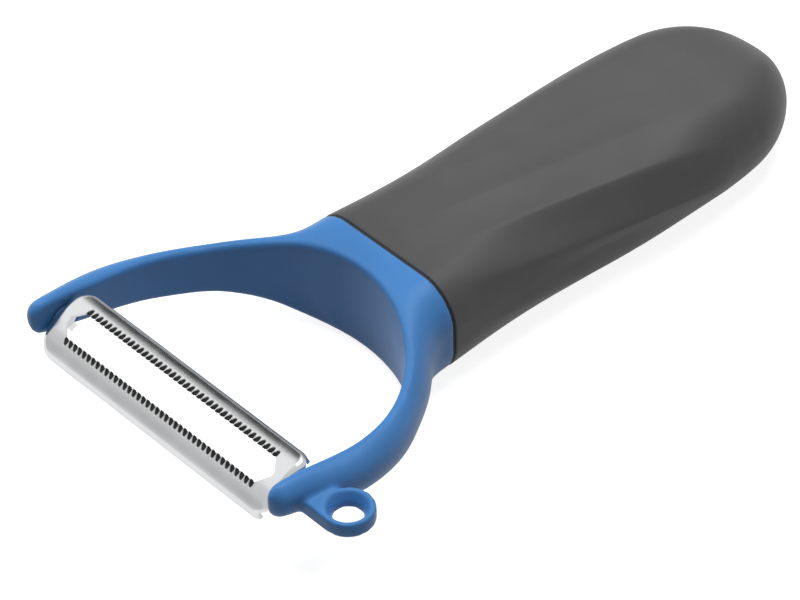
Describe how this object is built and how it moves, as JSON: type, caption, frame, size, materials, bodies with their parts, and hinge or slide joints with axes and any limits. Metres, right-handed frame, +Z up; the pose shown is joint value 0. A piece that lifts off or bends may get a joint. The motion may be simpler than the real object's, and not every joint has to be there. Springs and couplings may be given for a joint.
{
  "type": "vegetable peeler",
  "caption": "Y-shaped vegetable peeler: a blue plastic fork holds a swivelling serrated steel blade across its tips, with a hanging loop on one tip and a dark soft grip.",
  "frame": {"origin": "middle of the flat under the handle, on which the peeler lies", "axes": "+Y along the handle towards its round end, +X across towards the tip with the loop, +Z up from the table"},
  "size_m": [0.0826, 0.1522, 0.0207],
  "materials": {
    "blue_plastic": "satin moulded plastic, mid blue",
    "core_plastic": "plain moulded plastic, hidden under the grip",
    "soft_grip": "smooth soft-touch, dark grey",
    "blade_steel": "fine satin stainless steel",
    "pin_steel": "turned stainless steel"
  },
  "bodies": {
    "handle": {"fork_frame": "blue_plastic", "handle_core": "core_plastic", "soft_grip": "soft_grip"},
    "swivel_blade": {"blade": "blade_steel", "left_pivot_pin": "pin_steel", "right_pivot_pin": "pin_steel"}
  },
  "joints": [
    {"name": "blade_swivel", "type": "hinge", "parent": "handle", "child": "swivel_blade", "pos_m": [0, -0.094, 0.0143], "axis": [1, 0, 0], "range_deg": [-56, 0]}
  ]
}
